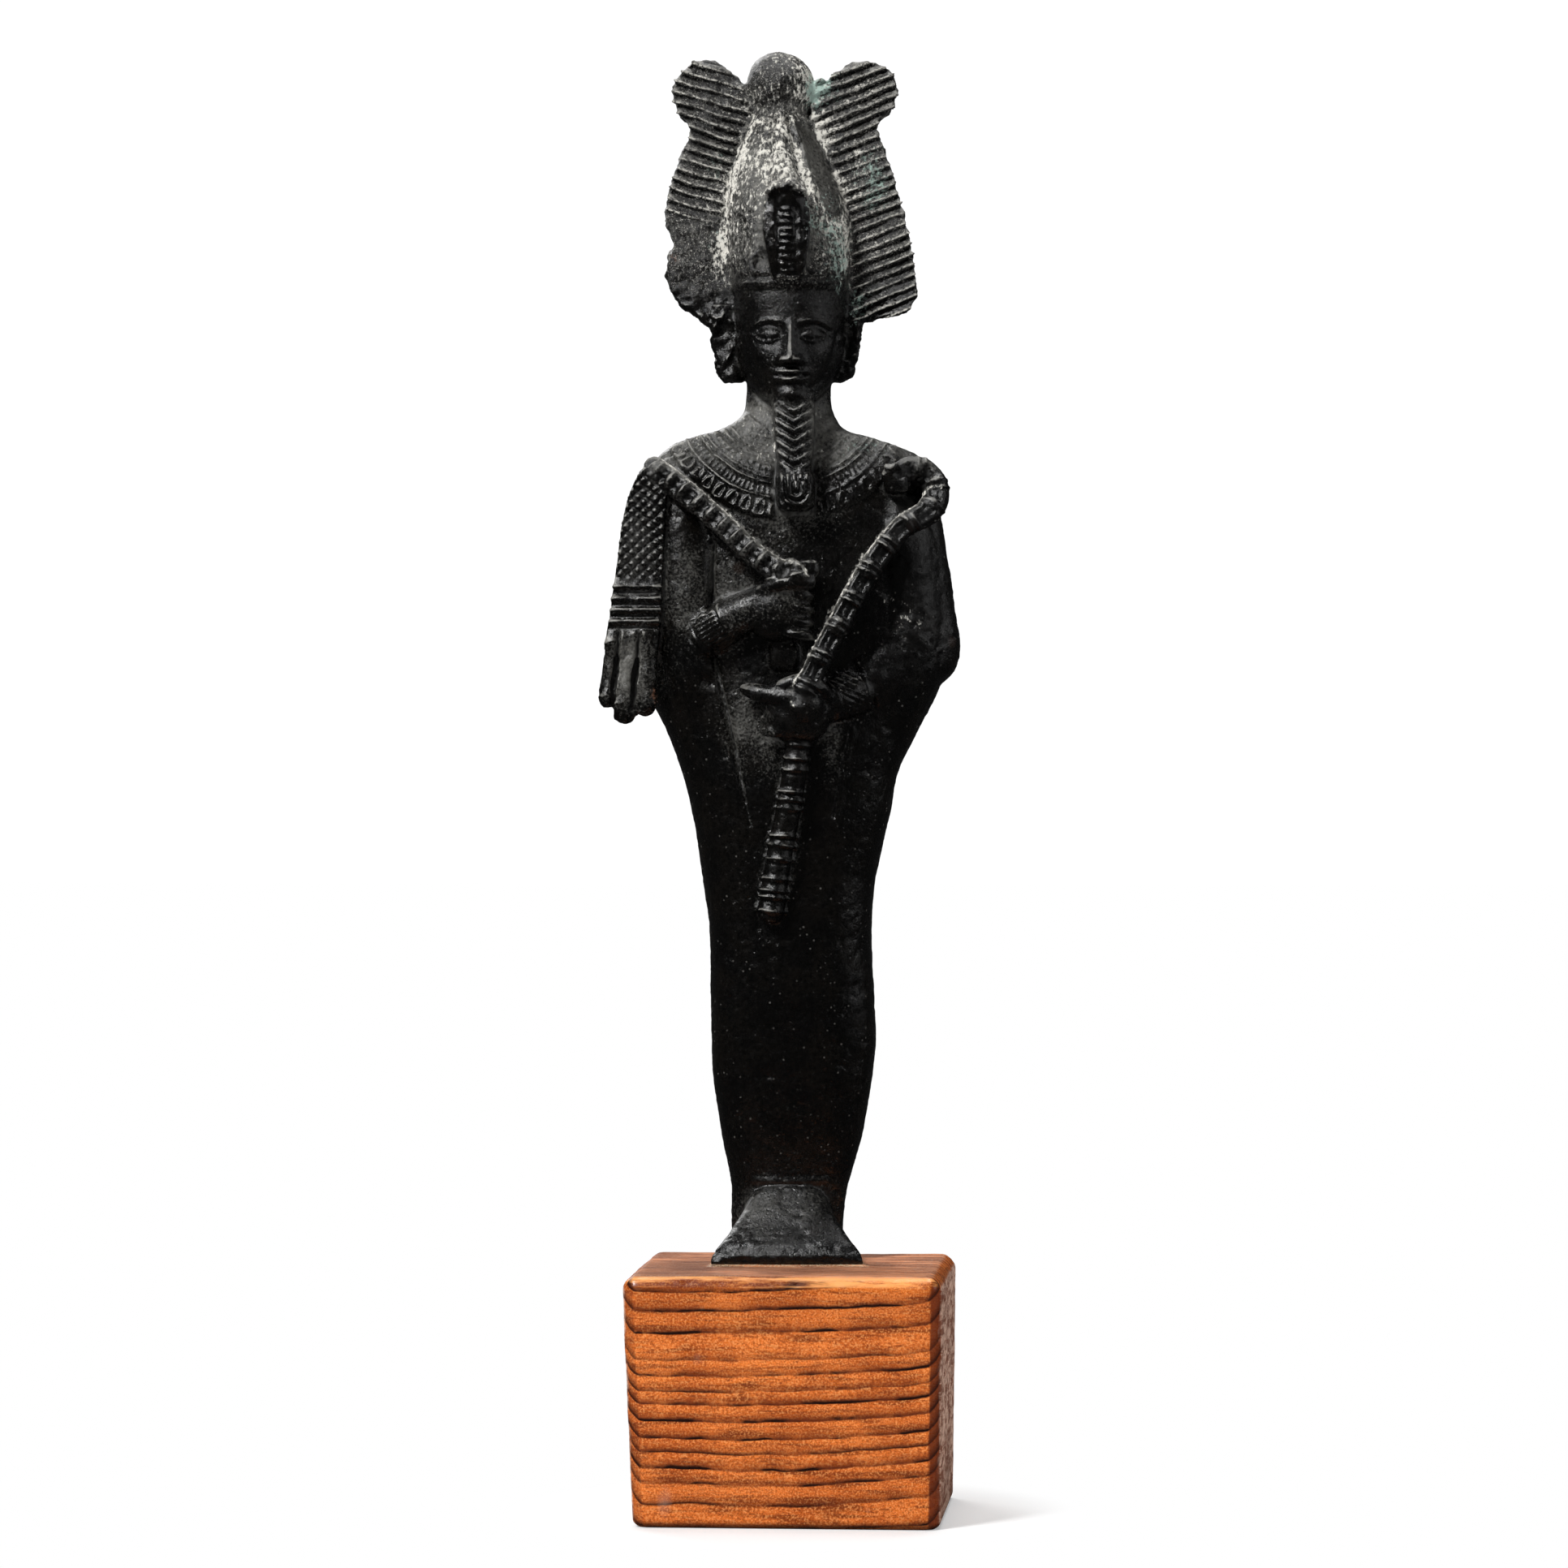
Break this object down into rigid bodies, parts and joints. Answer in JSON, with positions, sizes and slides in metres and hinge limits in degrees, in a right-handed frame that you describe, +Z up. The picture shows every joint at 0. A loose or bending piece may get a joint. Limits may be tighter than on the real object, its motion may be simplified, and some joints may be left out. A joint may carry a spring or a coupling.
{
  "type": "bronze osiris statuette",
  "caption": "Ancient Egyptian style bronze Osiris with plumed crown, crook and flail, standing on a chamfered wooden block.",
  "frame": {"origin": "centre of the plinth's underside, where it rests", "axes": "+Z up, +X to the viewer's right, -Y towards the plinth's front face and the viewer"},
  "size_m": [0.0444, 0.035, 0.1809],
  "materials": {
    "bronze": "dark patinated cast bronze, finely pitted, semi-gloss, with pale and green corrosion on the crown",
    "wood": "orange-brown varnished softwood with dark growth rings"
  },
  "bodies": {
    "root": {"bronze_figure": "bronze", "wooden_plinth": "wood"}
  },
  "joints": []
}
